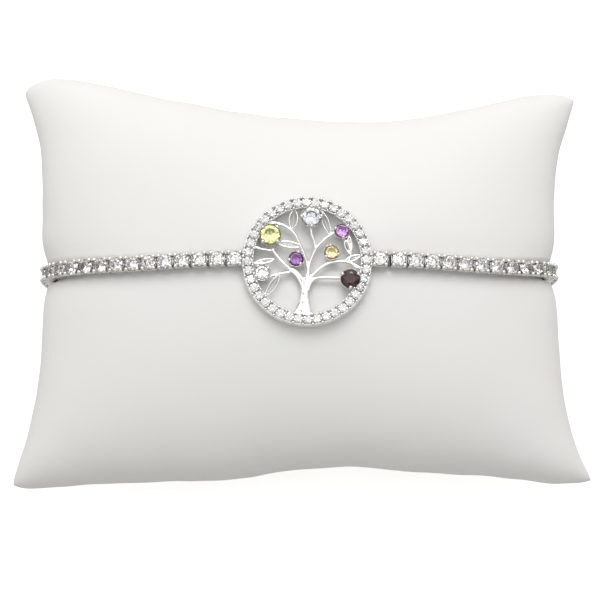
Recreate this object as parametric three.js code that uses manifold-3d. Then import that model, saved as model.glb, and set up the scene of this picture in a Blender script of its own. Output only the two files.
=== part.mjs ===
// A tree of life bracelet on its display pillow, in millimetres with +Z up.
// The pillow lies on its back with its face up. The bracelet goes all the way round it in one
// upright plane across its waist: medallion on top, tennis chain down both sides, clasp underneath.
import * as THREE from 'three';
import { mergeGeometries, mergeVertices } from 'three/addons/utils/BufferGeometryUtils.js';
import Module from 'manifold-3d';

const wasm = await Module();
wasm.setup();

// ---- Driving dimensions ----

const CLEARANCE = 0.3; // between neighbouring pieces
const SEAT_CLEARANCE = 0.08; // between a stone and its setting

// The pillow: two crowned faces that meet in a seam.
const PILLOW = {
  seamZ: 16.1, // height of the seam above the surface it lies on
  crown: 12.4, // the front face above the seam
  belly: 17.6, // the back face below the seam, before it is pressed flat
  waist: 37.05, // half the width across the middle
  frontBlunt: 2.9, // superellipse power of the front face across the width
  backBlunt: 3.2,
  lengthBlunt: 2.35, // of both faces along the length
  cornerBend: 9, // how far in the rounding of a corner starts
  columns: 24,
  rows: 30,
  rowGather: 1.6, // above 1, the rows of the mesh stand closer together at the bracelet
};

// How much further each corner reaches than the waist, how late it flares, and how far it is
// rounded back, as a share.
const CORNERS = {
  upperLeft: { flare: 6.1, bend: 4.8, pull: 0.06 },
  upperRight: { flare: 5.8, bend: 3.6, pull: 0.04 },
  lowerLeft: { flare: 6.1, bend: 3.6, pull: 0.045 },
  lowerRight: { flare: 6.6, bend: 4.6, pull: 0.05 },
};

// Where the long seams lie: lowest is the x where one sags furthest, and from there it moves by
// rise within reach. Beyond roundFrom it is rounded off.
const SEAMS = {
  upper: {
    lowest: 12,
    middle: 22.85,
    left: { rise: 9.6, reach: 52, bend: 1.8, roundFrom: 43, round: 0.024 },
    right: { rise: 5.2, reach: 26, bend: 1.5, roundFrom: 19, round: 0.015 },
  },
  lower: {
    lowest: 7,
    middle: -27.25,
    left: { rise: -3.65, reach: 50, bend: 1.15, roundFrom: 60, round: 0 },
    right: { rise: -3.85, reach: 36, bend: 1.15, roundFrom: 60, round: 0 },
  },
};

// Small waves that the stitching gathers into the lower seam.
const GATHERS = [
  { x: -30, y: 0.45, reach: 7 },
  { x: -10.5, y: -0.55, reach: 6 },
  { x: 26.5, y: 0.4, reach: 7 },
];

// The loop of the bracelet, along the middle of its links. Its plane is turned a little out of
// square, the medallion is pushed up the pillow, which bends the chain on either side of it, and
// the chain rides up a little where it turns down the right side.
const LOOP = {
  y: -0.08,
  skew: -0.014,
  push: 0.7,
  pushReach: 20,
  lift: 0.6,
  liftFrom: 24,
  halfWidth: 36.3,
  rise: 13.4, // above the widest point
  fall: 14.8, // below it
  frontBlunt: 2.9,
  backBlunt: 4,
};

const CHAIN = { thickness: 2.3, sides: 8, linksLeft: 33, linksRight: 32 };
const CLASP = { length: 10, width: 3, height: 2.1, bevel: 0.3 };

// The dent that the bracelet presses into the pillow, all the way round. Its floor is the
// loop's own section, drawn in by half a link and the clearance.
const DENT = { depth: CHAIN.thickness / 2 + CLEARANCE, reach: 3.3, wall: 3 };

const MEDALLION = { x: 1.1, y: 0.25, z: PILLOW.seamZ + PILLOW.crown + 0.1 };
const RING = {
  foot: 9.02, // radius at the bottom of the outer wall, which leans in a little
  outer: 8.82, // and at its top
  inner: 7.32,
  height: 1.4,
  edge: 0.1, // the bevel at the bottom of the outer wall
  rim: 0.05, // and at its top
  channelOuter: 8.7,
  channelInner: 7.45,
  channelZ: 0.95,
  sides: 48,
};
const PAVE = { outer: 8.62, inner: 7.53, floorZ: 1.03, topZ: 1.9, shoulder: 0.25 };
// The lugs that the chain hangs on: root is how far one runs into the ring.
const LUG = { length: 0.1, root: 0.5, width: 1.3, height: 1.2, y: LOOP.y + LOOP.push - MEDALLION.y, z: 0.8 };

// Branches and trunk: middle line, widths along it and the heights of their two faces.
// The widths are spread evenly from the first point to the last.
const LIMBS = {
  trunk: { low: 0.25, high: 1.5, widths: [3.1, 2.3, 1.5, 1.2, 1.1, 1.05, 0.9, 0.55],
    line: [[-0.72, -7.5], [-0.58, -6.7], [-0.45, -5.7], [-0.42, -4.8], [-0.36, -3.9],
      [-0.1, -3], [0.08, -2.2], [0.1, -1.4]] },
  lowerLeft: { low: 0.35, high: 1.35, widths: [0.7, 0.55, 0.48, 0.45, 0.44, 0.42, 0.42],
    line: [[-0.5, -4.5], [-0.68, -3.6], [-0.96, -2.73], [-1.44, -1.96], [-2.06, -1.34],
      [-3.3, -0.15], [-4.2, 0.9], [-4.85, 1.9]] },
  lowerLeftRidge: { low: 0.35, high: 1.3, widths: [0.4, 0.34, 0.3],
    line: [[-0.25, -3], [-0.47, -2.62], [-0.96, -2], [-1.44, -1.47], [-2.1, -1]] },
  whiteStoneTwig: { low: 0.35, high: 1.15, widths: [0.36, 0.34, 0.36],
    line: [[-2.1, -1.4], [-3, -1.6], [-3.7, -1.69], [-4.7, -1.95], [-5.6, -2.3]] },
  ringTwig: { low: 0.35, high: 1.2, widths: [0.42, 0.36, 0.36],
    line: [[-7.5, 2.2], [-6.7, 1.9], [-6.1, 1.7], [-4.8, 1.5]] },
  upperLeft: { low: 0.35, high: 1.35, widths: [0.5, 0.4, 0.36, 0.36, 0.36, 0.42],
    line: [[0.12, -1.7], [0, -0.5], [-0.4, 0.95], [-0.82, 2.1], [-1.55, 3.63], [-2.5, 4.6],
      [-3.8, 5.25], [-5.5, 5.5]] },
  rightMain: { low: 0.35, high: 1.35, widths: [0.5, 0.42, 0.4, 0.38],
    line: [[0.1, -1.7], [0.25, -0.5], [0.7, 0.75], [1.3, 1.8], [2.38, 2.96], [3.68, 3.87],
      [4.4, 4.1]] },
  topazBranch: { low: 0.35, high: 1.25, widths: [0.42, 0.34, 0.38],
    line: [[1.15, 1.5], [1.08, 2.3], [0.93, 3], [0.6, 4], [0.65, 5.4]] },
  rightArc: { low: 0.35, high: 1.35, widths: [0.6, 0.45, 0.42, 0.4, 0.4, 0.45],
    line: [[0.15, -3], [0.42, -2.46], [0.8, -1.93], [1.8, -1], [2.83, -0.36], [3.75, -0.15],
      [4.8, -0.08], [5.8, -0.3], [6.5, -0.64], [7.5, -1.2]] },
  garnetBranch: { low: 0.35, high: 1.3, widths: [0.7, 0.5, 0.4, 0.36, 0.36, 0.36],
    line: [[0, -4.1], [0.15, -3.56], [0.42, -3.1], [0.75, -2.68], [1.2, -2.38], [2.48, -2.35],
      [5, -2.4]] },
  upperAmethystTwig: { low: 0.35, high: 1.1, widths: [0.36, 0.34],
    line: [[5.3, 4.6], [6.1, 5.3]] },
  doubleLeafTwig: { low: 0.35, high: 1.1, widths: [0.36, 0.3, 0.26],
    line: [[5.6, -0.2], [5.85, 0.4], [6, 1.1], [6.05, 1.7]] },
};

const LIMB = { bevel: 0.1, stepsPerPoint: 1.6 };

// Leaves: the stalk end, the tip, and the width across the middle.
const LEAVES = {
  upperLeft: { stalk: [-2, 4.4], tip: [-1.65, 7.3], width: 1.15 },
  besidePeridot: { stalk: [-0.75, 2.05], tip: [-4.1, 2.6], width: 0.8 },
  upperRight: { stalk: [3.25, 3.5], tip: [2, 7.1], width: 0.85 },
  doubleInner: { stalk: [5.95, 0.8], tip: [5.15, 2.95], width: 0.62 },
  doubleOuter: { stalk: [6.05, 1.3], tip: [5.7, 3.6], width: 0.5 },
  right: { stalk: [5, -0.1], tip: [7.45, 0.75], width: 0.65 },
  left: { stalk: [-4.35, 0.3], tip: [-7.4, -0.25], width: 0.55 },
  lowerLeft: { stalk: [-5.8, -4.9], tip: [-3.7, -1.75], width: 0.9 },
};
const LEAF = { low: 0.6, high: 1.15 };

// Stones: middle, girdle diameter and height, number of prongs, and the first one's turn in degrees.
const STONES = {
  peridot: { x: -5, y: 3.6, diameter: 2.9, z: 1.75, prongs: 4, turn: 45, color: 0xb4cc2c },
  blue_topaz: { x: 0.67, y: 6.05, diameter: 2.8, z: 1.75, prongs: 4, turn: 0, color: 0xcfe2f2 },
  amethyst_upper: { x: 4.8, y: 4.05, diameter: 2, z: 1.55, prongs: 4, turn: 15, color: 0x7a3fb0 },
  amethyst_inner: { x: -1.5, y: 0.25, diameter: 2, z: 1.55, prongs: 4, turn: 50, color: 0x5b2a8c },
  citrine: { x: 3.35, y: 1.1, diameter: 2, z: 1.55, prongs: 4, turn: 10, color: 0xe0b83c },
  garnet: { x: 5.85, y: -2.6, diameter: 2.6, z: 1.7, prongs: 3, turn: 30, color: 0x4a1016 },
  white_stone: { x: -6.15, y: -1.6, diameter: 2.1, z: 1.6, prongs: 4, turn: 35, color: 0xeaf2f4 },
};
const BRILLIANT = { table: 0.57, crown: 0.17, girdle: 0.04, pavilion: 0.42, culet: 0.04, sides: 12 };
const SETTING = { wall: 0.3, rim: 0.16, taper: 0.3, floorZ: 0.3 };
const PRONG = { radius: 0.19, below: 0.7, above: 0.34, sides: 6 };
const CUT_TOP = 4; // a cut from above starts clear of everything
const CURVE_SEGMENTS = 5;

const WHITE_LEATHERETTE = { color: 0xe9e7e4, roughness: 0.55, metalness: 0 };
const SILVER = { color: 0xd4d4d2, roughness: 0.14, metalness: 1 };
const CLEAR_STONES = { color: 0xeef2f3, roughness: 0.04, metalness: 0 };

// ---- Solids, joins and cuts ----

const radians = THREE.MathUtils.degToRad;

function solidOf(geometry) {
  const bare = geometry.clone();
  bare.deleteAttribute('normal');
  bare.deleteAttribute('uv');
  const merged = mergeVertices(bare, 1e-5);
  return new wasm.Manifold(new wasm.Mesh({
    numProp: 3,
    vertProperties: new Float32Array(merged.attributes.position.array),
    triVerts: new Uint32Array(merged.index.array),
  }));
}

function geometryOf(solid) {
  const mesh = solid.getMesh();
  const geometry = new THREE.BufferGeometry();
  geometry.setAttribute('position', new THREE.BufferAttribute(new Float32Array(mesh.vertProperties), 3));
  geometry.setIndex(new THREE.BufferAttribute(new Uint32Array(mesh.triVerts), 1));
  geometry.computeVertexNormals();
  return geometry;
}

const joined = (geometries) => geometries.map(solidOf).reduce((whole, next) => whole.add(next));

function piece(name, geometry, finish) {
  const mesh = new THREE.Mesh(geometry, new THREE.MeshStandardMaterial(finish));
  mesh.name = name;
  return mesh;
}

// A profile of [radius, height] turned round the Z axis.
function turned(profile, sides) {
  const points = profile.map(([radius, height]) => new THREE.Vector2(radius, height));
  return new THREE.LatheGeometry(points, sides).rotateX(Math.PI / 2);
}

const flat = ([x, y]) => new THREE.Vector2(x, y);

// An outline raised from one height to another, which grows by the bevel all round.
function raised(shape, low, high, bevel) {
  return new THREE.ExtrudeGeometry(shape, {
    depth: high - low - 2 * bevel,
    bevelEnabled: bevel > 0,
    bevelThickness: bevel,
    bevelSize: bevel,
    bevelSegments: 1,
    curveSegments: CURVE_SEGMENTS,
  }).translate(0, 0, low + bevel);
}

// ---- The loop of the bracelet ----

const power = (value, exponent) => Math.sign(value) * Math.abs(value) ** exponent;

function loopY(x, front) {
  const pushed = front ? LOOP.push * Math.exp(-(((x - MEDALLION.x) / LOOP.pushReach) ** 4)) : 0;
  const lifted = LOOP.lift * Math.max(0, (x - LOOP.liftFrom) / (LOOP.halfWidth - LOOP.liftFrom)) ** 3;
  return LOOP.y + LOOP.skew * x + pushed + lifted;
}

// Starts underneath in the middle, and goes up the left side, over the top and down the right.
class BraceletLoop extends THREE.Curve {
  getPoint(share, target = new THREE.Vector3()) {
    const angle = -Math.PI / 2 - 2 * Math.PI * share;
    const above = Math.sin(angle) > 0;
    const exponent = 2 / (above ? LOOP.frontBlunt : LOOP.backBlunt);
    const x = LOOP.halfWidth * power(Math.cos(angle), exponent);
    const z = (above ? LOOP.rise : LOOP.fall) * power(Math.sin(angle), exponent);
    return target.set(x, loopY(x, above), PILLOW.seamZ + z);
  }
}

const loop = new BraceletLoop();
loop.arcLengthDivisions = 4000;
const loopLength = loop.getLength();

// How far along the loop its front stretch passes over a given x.
function lengthAtTop(x) {
  let [low, high] = [0.25, 0.75];
  while (high - low > 1e-7) {
    const middle = (low + high) / 2;
    if (loop.getPointAt(middle).x < x) low = middle;
    else high = middle;
  }
  return low * loopLength;
}

// A tube along the loop, with one step for each link.
function chainTube([from, to, steps]) {
  const points = Array.from({ length: steps + 1 }, (_, i) =>
    loop.getPointAt((from + ((to - from) * i) / steps) / loopLength));
  const outline = Array.from({ length: CHAIN.sides }, (_, i) => {
    const angle = ((i + 0.5) / CHAIN.sides) * 2 * Math.PI;
    const radius = CHAIN.thickness / 2 / Math.cos(Math.PI / CHAIN.sides);
    return new THREE.Vector2(radius * Math.cos(angle), radius * Math.sin(angle));
  });
  return new THREE.ExtrudeGeometry(new THREE.Shape(outline), {
    steps,
    extrudePath: new THREE.CatmullRomCurve3(points),
  });
}

// Where each side of the chain starts and ends along the loop, and how many links it has.
const lugReach = RING.foot + LUG.length;
const stretches = {
  left: [CLASP.length / 2 + CLEARANCE, lengthAtTop(MEDALLION.x - lugReach) - CLEARANCE, CHAIN.linksLeft],
  right: [lengthAtTop(MEDALLION.x + lugReach) + CLEARANCE,
    loopLength - CLASP.length / 2 - CLEARANCE, CHAIN.linksRight],
};

// ---- The clasp, one plain box with soft edges ----

function boxClasp() {
  const x = CLASP.length / 2 - CLASP.bevel;
  const y = CLASP.width / 2 - CLASP.bevel;
  const outline = [[-x, -y], [x, -y], [x, y], [-x, y]].map(flat);
  return raised(new THREE.Shape(outline), -CLASP.height / 2, CLASP.height / 2, CLASP.bevel)
    .translate(0, LOOP.y, PILLOW.seamZ - LOOP.fall);
}

// ---- The pillow ----

function seamY(edge, x) {
  const seam = SEAMS[edge];
  const half = x < seam.lowest ? seam.left : seam.right;
  const away = Math.abs(x - seam.lowest);
  const outward = edge === 'upper' ? 1 : -1;
  const rounding = half.round * Math.max(0, away - half.roundFrom) ** 2;
  const gathers = GATHERS.reduce((sum, wave) => sum + wave.y * Math.exp(-(((x - wave.x) / wave.reach) ** 2)), 0);
  return seam.middle + half.rise * (away / half.reach) ** half.bend - outward * rounding
    + (edge === 'lower' ? gathers : 0);
}

const blunt = (value, exponent) => Math.max(0, 1 - Math.abs(value) ** exponent) ** (1 / exponent);

// across and along run from -1 to 1 over a face, whose side is 1 in front and -1 behind.
// along is 0 at the bracelet. The push of the medallion ends at the seam, where the faces meet.
function pillowPoint(across, along, side) {
  const front = side > 0;
  const pushed = front && Math.abs(across) < 1;
  const row = along > 0 ? 'upper' : 'lower';
  const corner = CORNERS[row + (across < 0 ? 'Left' : 'Right')];
  const edge = seamY(row, across * (PILLOW.waist + corner.flare));
  const y = LOOP.y + Math.abs(along) * (edge - LOOP.y);
  const press = Math.exp(-(Math.abs((y - loopY(across * PILLOW.waist, pushed)) / DENT.reach) ** DENT.wall));
  const pressed = (free, tight) => free + (tight - free) * press;
  const flared = PILLOW.waist + corner.flare * Math.abs(along) ** corner.bend;
  const x = across * pressed(flared, LOOP.halfWidth - DENT.depth);
  const bluntness = front
    ? pressed(PILLOW.frontBlunt, LOOP.frontBlunt) : pressed(PILLOW.backBlunt, LOOP.backBlunt);
  const height = front
    ? pressed(PILLOW.crown, LOOP.rise - DENT.depth) : pressed(PILLOW.belly, LOOP.fall - DENT.depth);
  const z = PILLOW.seamZ + side * height * blunt(across, bluntness) * blunt(along, PILLOW.lengthBlunt);
  const pull = 1 - corner.pull * Math.abs(across * along) ** PILLOW.cornerBend;
  return new THREE.Vector3(x * pull, y * pull, Math.max(z, 0));
}

// The back face is laid out in mirror image, which turns its triangles to face backwards.
function pillowFace(side) {
  const face = new THREE.PlaneGeometry(2, 2, PILLOW.columns, PILLOW.rows);
  const spots = face.attributes.position;
  for (let i = 0; i < spots.count; i += 1) {
    const across = side * Math.sin((spots.getX(i) * Math.PI) / 2);
    const along = Math.sin((power(spots.getY(i), PILLOW.rowGather) * Math.PI) / 2);
    const spot = pillowPoint(across, along, side);
    spots.setXYZ(i, spot.x, spot.y, spot.z);
  }
  return face;
}

const displayPillow = () => mergeGeometries([pillowFace(1), pillowFace(-1)]);

// ---- The medallion ----

function limb({ line, widths, low, high }) {
  const middle = new THREE.SplineCurve(line.map(flat));
  const steps = Math.round(line.length * LIMB.stepsPerPoint);
  const sides = [[], []];
  for (let i = 0; i <= steps; i += 1) {
    const spot = middle.getPoint(i / steps);
    const heading = middle.getTangent(i / steps);
    const place = (i / steps) * (widths.length - 1);
    const before = Math.min(Math.floor(place), widths.length - 2);
    const width = THREE.MathUtils.lerp(widths[before], widths[before + 1], place - before);
    const out = new THREE.Vector2(-heading.y, heading.x).multiplyScalar(width / 2 - LIMB.bevel);
    sides[0].push(spot.clone().add(out));
    sides[1].unshift(spot.clone().sub(out));
  }
  return raised(new THREE.Shape([...sides[1], ...sides[0]]), low, high, LIMB.bevel);
}

function leaf({ stalk, tip, width }) {
  const [from, to] = [flat(stalk), flat(tip)];
  const out = new THREE.Vector2(from.y - to.y, to.x - from.x).normalize().multiplyScalar(width);
  const middle = from.clone().add(to).multiplyScalar(0.5);
  const shape = new THREE.Shape();
  shape.moveTo(from.x, from.y);
  shape.quadraticCurveTo(middle.x - out.x, middle.y - out.y, to.x, to.y);
  shape.quadraticCurveTo(middle.x + out.x, middle.y + out.y, from.x, from.y);
  return raised(shape, LEAF.low, LEAF.high, 0);
}

// A round brilliant, larger all round by extra, with its girdle at its own height.
function brilliant({ x, y, z, diameter }, extra = 0) {
  const { table, crown, girdle, pavilion, culet, sides } = BRILLIANT;
  const radius = diameter / 2 + extra;
  const belt = (girdle / 2) * diameter + extra;
  const bottom = pavilion * diameter + extra;
  const top = (girdle / 2 + crown) * diameter + extra;
  return turned([
    [0, -bottom], [culet * radius, -bottom], [radius, -belt], [radius, belt], [table * radius, top], [0, top],
  ], sides).translate(x, y, z);
}

// A tapered cup for one stone, with a claw at each prong.
function setting({ x, y, z, diameter, prongs, turn }) {
  const { wall, rim, taper, floorZ } = SETTING;
  const [inner, outer] = [diameter / 2 - wall, diameter / 2 + rim];
  const cup = turned([
    [inner - taper, floorZ], [outer - taper, floorZ], [outer, z], [inner, z], [inner - taper, floorZ],
  ], BRILLIANT.sides).translate(x, y, 0);
  const reach = diameter / 2 + SEAT_CLEARANCE + PRONG.radius;
  const clawZ = z + (PRONG.above - PRONG.below) / 2;
  const claws = Array.from({ length: prongs }, (_, i) => {
    const angle = radians(turn + (360 * i) / prongs);
    return new THREE.CylinderGeometry(PRONG.radius, PRONG.radius, PRONG.below + PRONG.above, PRONG.sides)
      .rotateX(Math.PI / 2)
      .translate(x + reach * Math.cos(angle), y + reach * Math.sin(angle), clawZ);
  });
  return [cup, ...claws];
}

function ring() {
  const { foot, outer, inner, height, edge, rim, channelOuter, channelInner, channelZ } = RING;
  return turned([
    [inner, 0], [foot - edge, 0], [foot, edge], [outer, height - rim], [outer - rim, height],
    [channelOuter, height], [channelOuter, channelZ], [channelInner, channelZ], [channelInner, height],
    [inner, height], [inner, 0]], RING.sides);
}

function paveBand() {
  const { outer, inner, floorZ, topZ, shoulder } = PAVE;
  return turned([
    [inner, floorZ], [outer, floorZ], [outer, topZ - shoulder], [outer - shoulder, topZ],
    [inner + shoulder, topZ], [inner, topZ - shoulder], [inner, floorZ]], RING.sides);
}

function lug(side) {
  return new THREE.BoxGeometry(LUG.length + LUG.root, LUG.width, LUG.height)
    .translate(side * (RING.foot + (LUG.length - LUG.root) / 2), LUG.y, LUG.z);
}

// The space that the channel round the ring keeps clear for its paved surface.
function channel() {
  const { channelInner, channelOuter, channelZ } = RING;
  return turned([
    [channelInner, channelZ], [channelOuter, channelZ], [channelOuter, CUT_TOP], [channelInner, CUT_TOP],
    [channelInner, channelZ]], RING.sides);
}

const seats = joined(Object.values(STONES).map((stone) => brilliant(stone, SEAT_CLEARANCE)));

function treeMedallion() {
  const metal = joined([
    ring(), lug(-1), lug(1),
    ...Object.values(LIMBS).map(limb),
    ...Object.values(LEAVES).map(leaf),
    ...Object.values(STONES).flatMap(setting),
  ]);
  return geometryOf(metal.subtract(seats).subtract(solidOf(channel())));
}

// ---- The bracelet on its pillow ----

const medallion = new THREE.Group();
medallion.position.set(MEDALLION.x, MEDALLION.y, MEDALLION.z);
medallion.add(piece('tree_medallion', treeMedallion(), SILVER));
medallion.add(piece('pave_band', geometryOf(solidOf(paveBand()).subtract(seats)), CLEAR_STONES));
for (const [name, stone] of Object.entries(STONES)) {
  medallion.add(piece(name, brilliant(stone), { color: stone.color, roughness: 0.04, metalness: 0 }));
}

const braceletOnPillow = new THREE.Group();
braceletOnPillow.add(piece('display_pillow', displayPillow(), WHITE_LEATHERETTE), medallion);
for (const [side, stretch] of Object.entries(stretches)) {
  braceletOnPillow.add(piece(`chain_${side}`, chainTube(stretch), SILVER));
}
braceletOnPillow.add(piece('box_clasp', boxClasp(), SILVER));

export default braceletOnPillow;
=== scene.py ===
# %% [markdown]
# # A tree of life bracelet on its display pillow
#
# A tennis bracelet is a row of hinged silver links, each with four claws that hold one round
# stone. This one has a round openwork tree in the middle and is fastened round a small stuffed
# pillow, as a shop shows it. The frame is already made: every solid that carries, holds or
# collides. This lesson gives it its looks: leatherette, polished silver and cut stones.

import math
import random
from bisect import bisect_left

import bmesh
import bpy
from mathutils import Matrix, Quaternion, Vector, noise


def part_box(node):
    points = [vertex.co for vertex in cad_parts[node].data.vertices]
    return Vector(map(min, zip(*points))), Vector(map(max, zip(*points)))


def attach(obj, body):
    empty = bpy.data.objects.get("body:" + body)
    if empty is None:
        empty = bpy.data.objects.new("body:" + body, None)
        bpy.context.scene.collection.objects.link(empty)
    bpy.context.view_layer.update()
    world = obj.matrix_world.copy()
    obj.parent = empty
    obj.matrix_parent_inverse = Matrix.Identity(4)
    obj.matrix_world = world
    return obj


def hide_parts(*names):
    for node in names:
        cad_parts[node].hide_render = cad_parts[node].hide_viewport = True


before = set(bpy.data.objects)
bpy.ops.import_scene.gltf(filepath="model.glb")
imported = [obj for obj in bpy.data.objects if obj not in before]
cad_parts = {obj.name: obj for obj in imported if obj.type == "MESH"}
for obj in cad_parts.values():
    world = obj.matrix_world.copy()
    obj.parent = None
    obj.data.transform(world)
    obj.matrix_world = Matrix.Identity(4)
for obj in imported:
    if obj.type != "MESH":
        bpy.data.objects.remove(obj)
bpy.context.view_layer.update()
MM = 0.001

# %% [markdown]
# ## The camera
#
# The pillow lies on its back, and is looked down on from a little in front. A long lens from
# 20 cm away keeps the far edge nearly as wide as the near one. The camera is turned about its
# own line of sight by half a degree, as a hand-held one is.

# %% Place the camera
AIM = Vector((0.07, -4.85, 27.85)) * MM
VIEW = {"elevation": math.radians(81.5), "distance": 200 * MM, "lens": 87.6, "roll": math.radians(-0.6)}


def put_in_scene(name, data):
    placed = bpy.data.objects.new(name, data)
    bpy.context.scene.collection.objects.link(placed)
    return placed


away = Vector((0, -math.cos(VIEW["elevation"]), math.sin(VIEW["elevation"])))
camera = put_in_scene("camera", bpy.data.cameras.new("camera"))
bpy.context.scene.camera = camera
camera.location = AIM + away * VIEW["distance"]
camera.rotation_mode = "QUATERNION"
camera.rotation_quaternion = (-away).to_track_quat("-Z", "Y") @ Quaternion((0, 0, 1), VIEW["roll"])
camera.data.lens = VIEW["lens"]
camera.data.clip_start = VIEW["distance"] / 20
print("the camera stands", round(camera.location.z / MM), "mm above the floor")

# %% [markdown]
# ## Two helpers for shader nodes
#
# The room's light and every finish are made of nodes. `add` makes a node and fills in its plain
# values, and `connect` leads an output of one node to an input of another.

# %% Define how nodes are added and connected


def add(tree, kind, settings=None, **values):
    made = tree.nodes.new("ShaderNode" + kind)
    for name, value in (settings or {}).items():
        setattr(made, name, value)
    for name, value in values.items():
        made.inputs[name.replace("_", " ")].default_value = value
    return made


def connect(tree, *links):
    for source, output, target, socket in links:
        tree.links.new(source.outputs[output], target.inputs[socket])


print("add and connect are ready")

# %% [markdown]
# ## The light
#
# Polished silver and cut stones show only what is around them, so the room matters more than
# the lamp. The room here is white overhead and a greyish beige towards the horizon, with dark
# cards hung between its white walls and one more high in front: each facet and bead then finds
# something light and something dark to show, which makes it sparkle. The room is brighter
# behind the pillow than in front, and one soft lamp hangs there too, which makes the near slope
# a little greyer than the far one. The Standard view is used because it leaves white as white.

# %% Light the room
bpy.context.scene.view_settings.view_transform = "Standard"

ROOM = {"strength": 1.12, "slant": 0.36, "horizon": (0.56, 0.51, 0.44), "overhead": (1.0, 1.0, 1.0),
        "grey_up_to": 0.1, "white_from": 0.85}
CARDS = {"size": 3.2, "edge": (0.44, 0.5), "shade": 0.3, "lowest": 0.3, "highest": 0.93}
FRONT_CARD = {"towards": (0, -0.5, 0.866), "inner": math.radians(11), "outer": math.radians(20),
              "shade": 0.3}


def lit_room():
    world = bpy.data.worlds.new("studio")
    bpy.context.scene.world = world
    world.use_nodes = True
    tree = world.node_tree

    direction = add(tree, "TexCoord")
    split = add(tree, "SeparateXYZ")
    rise = add(tree, "MapRange", From_Min=ROOM["grey_up_to"], From_Max=ROOM["white_from"])
    walls = add(tree, "Mix", {"data_type": "RGBA"}, A=(*ROOM["horizon"], 1), B=(*ROOM["overhead"], 1))
    patches = add(tree, "TexNoise", Scale=CARDS["size"], Detail=0.0)
    cards = add(tree, "MapRange", From_Min=CARDS["edge"][0], From_Max=CARDS["edge"][1],
                To_Min=CARDS["shade"])
    band = add(tree, "Math", {"operation": "COMPARE"})
    band.inputs[1].default_value = (CARDS["lowest"] + CARDS["highest"]) / 2
    band.inputs[2].default_value = (CARDS["highest"] - CARDS["lowest"]) / 2
    hung = add(tree, "Mix", A=1.0)
    facing = add(tree, "VectorMath", {"operation": "DOT_PRODUCT"})
    facing.inputs[1].default_value = FRONT_CARD["towards"]
    front = add(tree, "MapRange", From_Min=math.cos(FRONT_CARD["outer"]),
                From_Max=math.cos(FRONT_CARD["inner"]), To_Min=1.0, To_Max=FRONT_CARD["shade"])
    slant = add(tree, "MapRange", From_Min=-1.0, To_Min=1 - ROOM["slant"], To_Max=1 + ROOM["slant"])
    both = add(tree, "Math", {"operation": "MULTIPLY"})
    slanted = add(tree, "Math", {"operation": "MULTIPLY"})
    shaded = add(tree, "VectorMath", {"operation": "SCALE"})
    connect(tree, (direction, "Generated", split, 0), (direction, "Generated", patches, "Vector"),
            (split, "Z", rise, "Value"), (split, "Z", band, 0), (rise, "Result", walls, "Factor"),
            (patches, "Fac", cards, "Value"), (band, "Value", hung, "Factor"),
            (cards, "Result", hung, "B"), (walls, "Result", shaded, 0),
            (direction, "Generated", facing, 0), (facing, "Value", front, "Value"),
            (hung, "Result", both, 0), (front, "Result", both, 1), (split, "Y", slant, "Value"),
            (both, "Value", slanted, 0), (slant, "Result", slanted, 1),
            (slanted, "Value", shaded, "Scale"), (shaded, "Vector", tree.nodes["Background"], "Color"))
    tree.nodes["Background"].inputs["Strength"].default_value = ROOM["strength"]


def soft_lamp(name, place, size, watts):
    lamp = bpy.data.lights.new(name, "AREA")
    lamp.shape = "DISK"
    lamp.size = size * MM
    lamp.energy = watts
    holder = put_in_scene(name, lamp)
    holder.location = Vector(place) * MM
    holder.rotation_euler = (AIM - holder.location).to_track_quat("-Z", "Y").to_euler()


lit_room()
soft_lamp("lamp_behind", place=(30, 300, 420), size=320, watts=1.0)
print("one lamp, white walls and dark cards")

# %% [markdown]
# ## Effects that several finishes share
#
# Real surfaces are never one colour. `tint_drift` wanders softly between two colours, and
# `fine_wear` gives the hair scratches and faint cloudiness of something that is handled. Each
# is a group with named sockets, built once and placed in every finish with values of its own.
# Both read Object coordinates, so that the pattern stays on the piece.

# %% Make the shared effects


def shader_group(name, inputs, outputs):
    group = bpy.data.node_groups.new(name, "ShaderNodeTree")
    for label, kind, value in inputs:
        socket = group.interface.new_socket(label, in_out="INPUT", socket_type="NodeSocket" + kind)
        socket.default_value = value
    for label, kind in outputs:
        group.interface.new_socket(label, in_out="OUTPUT", socket_type="NodeSocket" + kind)
    return group, group.nodes.new("NodeGroupInput"), group.nodes.new("NodeGroupOutput")


def make_tint_drift():
    group, given, result = shader_group(
        "tint_drift",
        [("Color A", "Color", (1, 1, 1, 1)), ("Color B", "Color", (1, 1, 1, 1)), ("Scale", "Float", 100.0)],
        [("Color", "Color")])
    place = add(group, "TexCoord")
    cloud = add(group, "TexNoise", Detail=2.0, Roughness=0.5)
    spread = add(group, "MapRange", From_Min=0.35, From_Max=0.65)
    blend = add(group, "Mix", {"data_type": "RGBA"})
    connect(group, (place, "Object", cloud, "Vector"), (given, "Scale", cloud, "Scale"),
            (cloud, "Fac", spread, "Value"), (spread, "Result", blend, "Factor"),
            (given, "Color A", blend, "A"), (given, "Color B", blend, "B"),
            (blend, "Result", result, "Color"))
    return group


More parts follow.
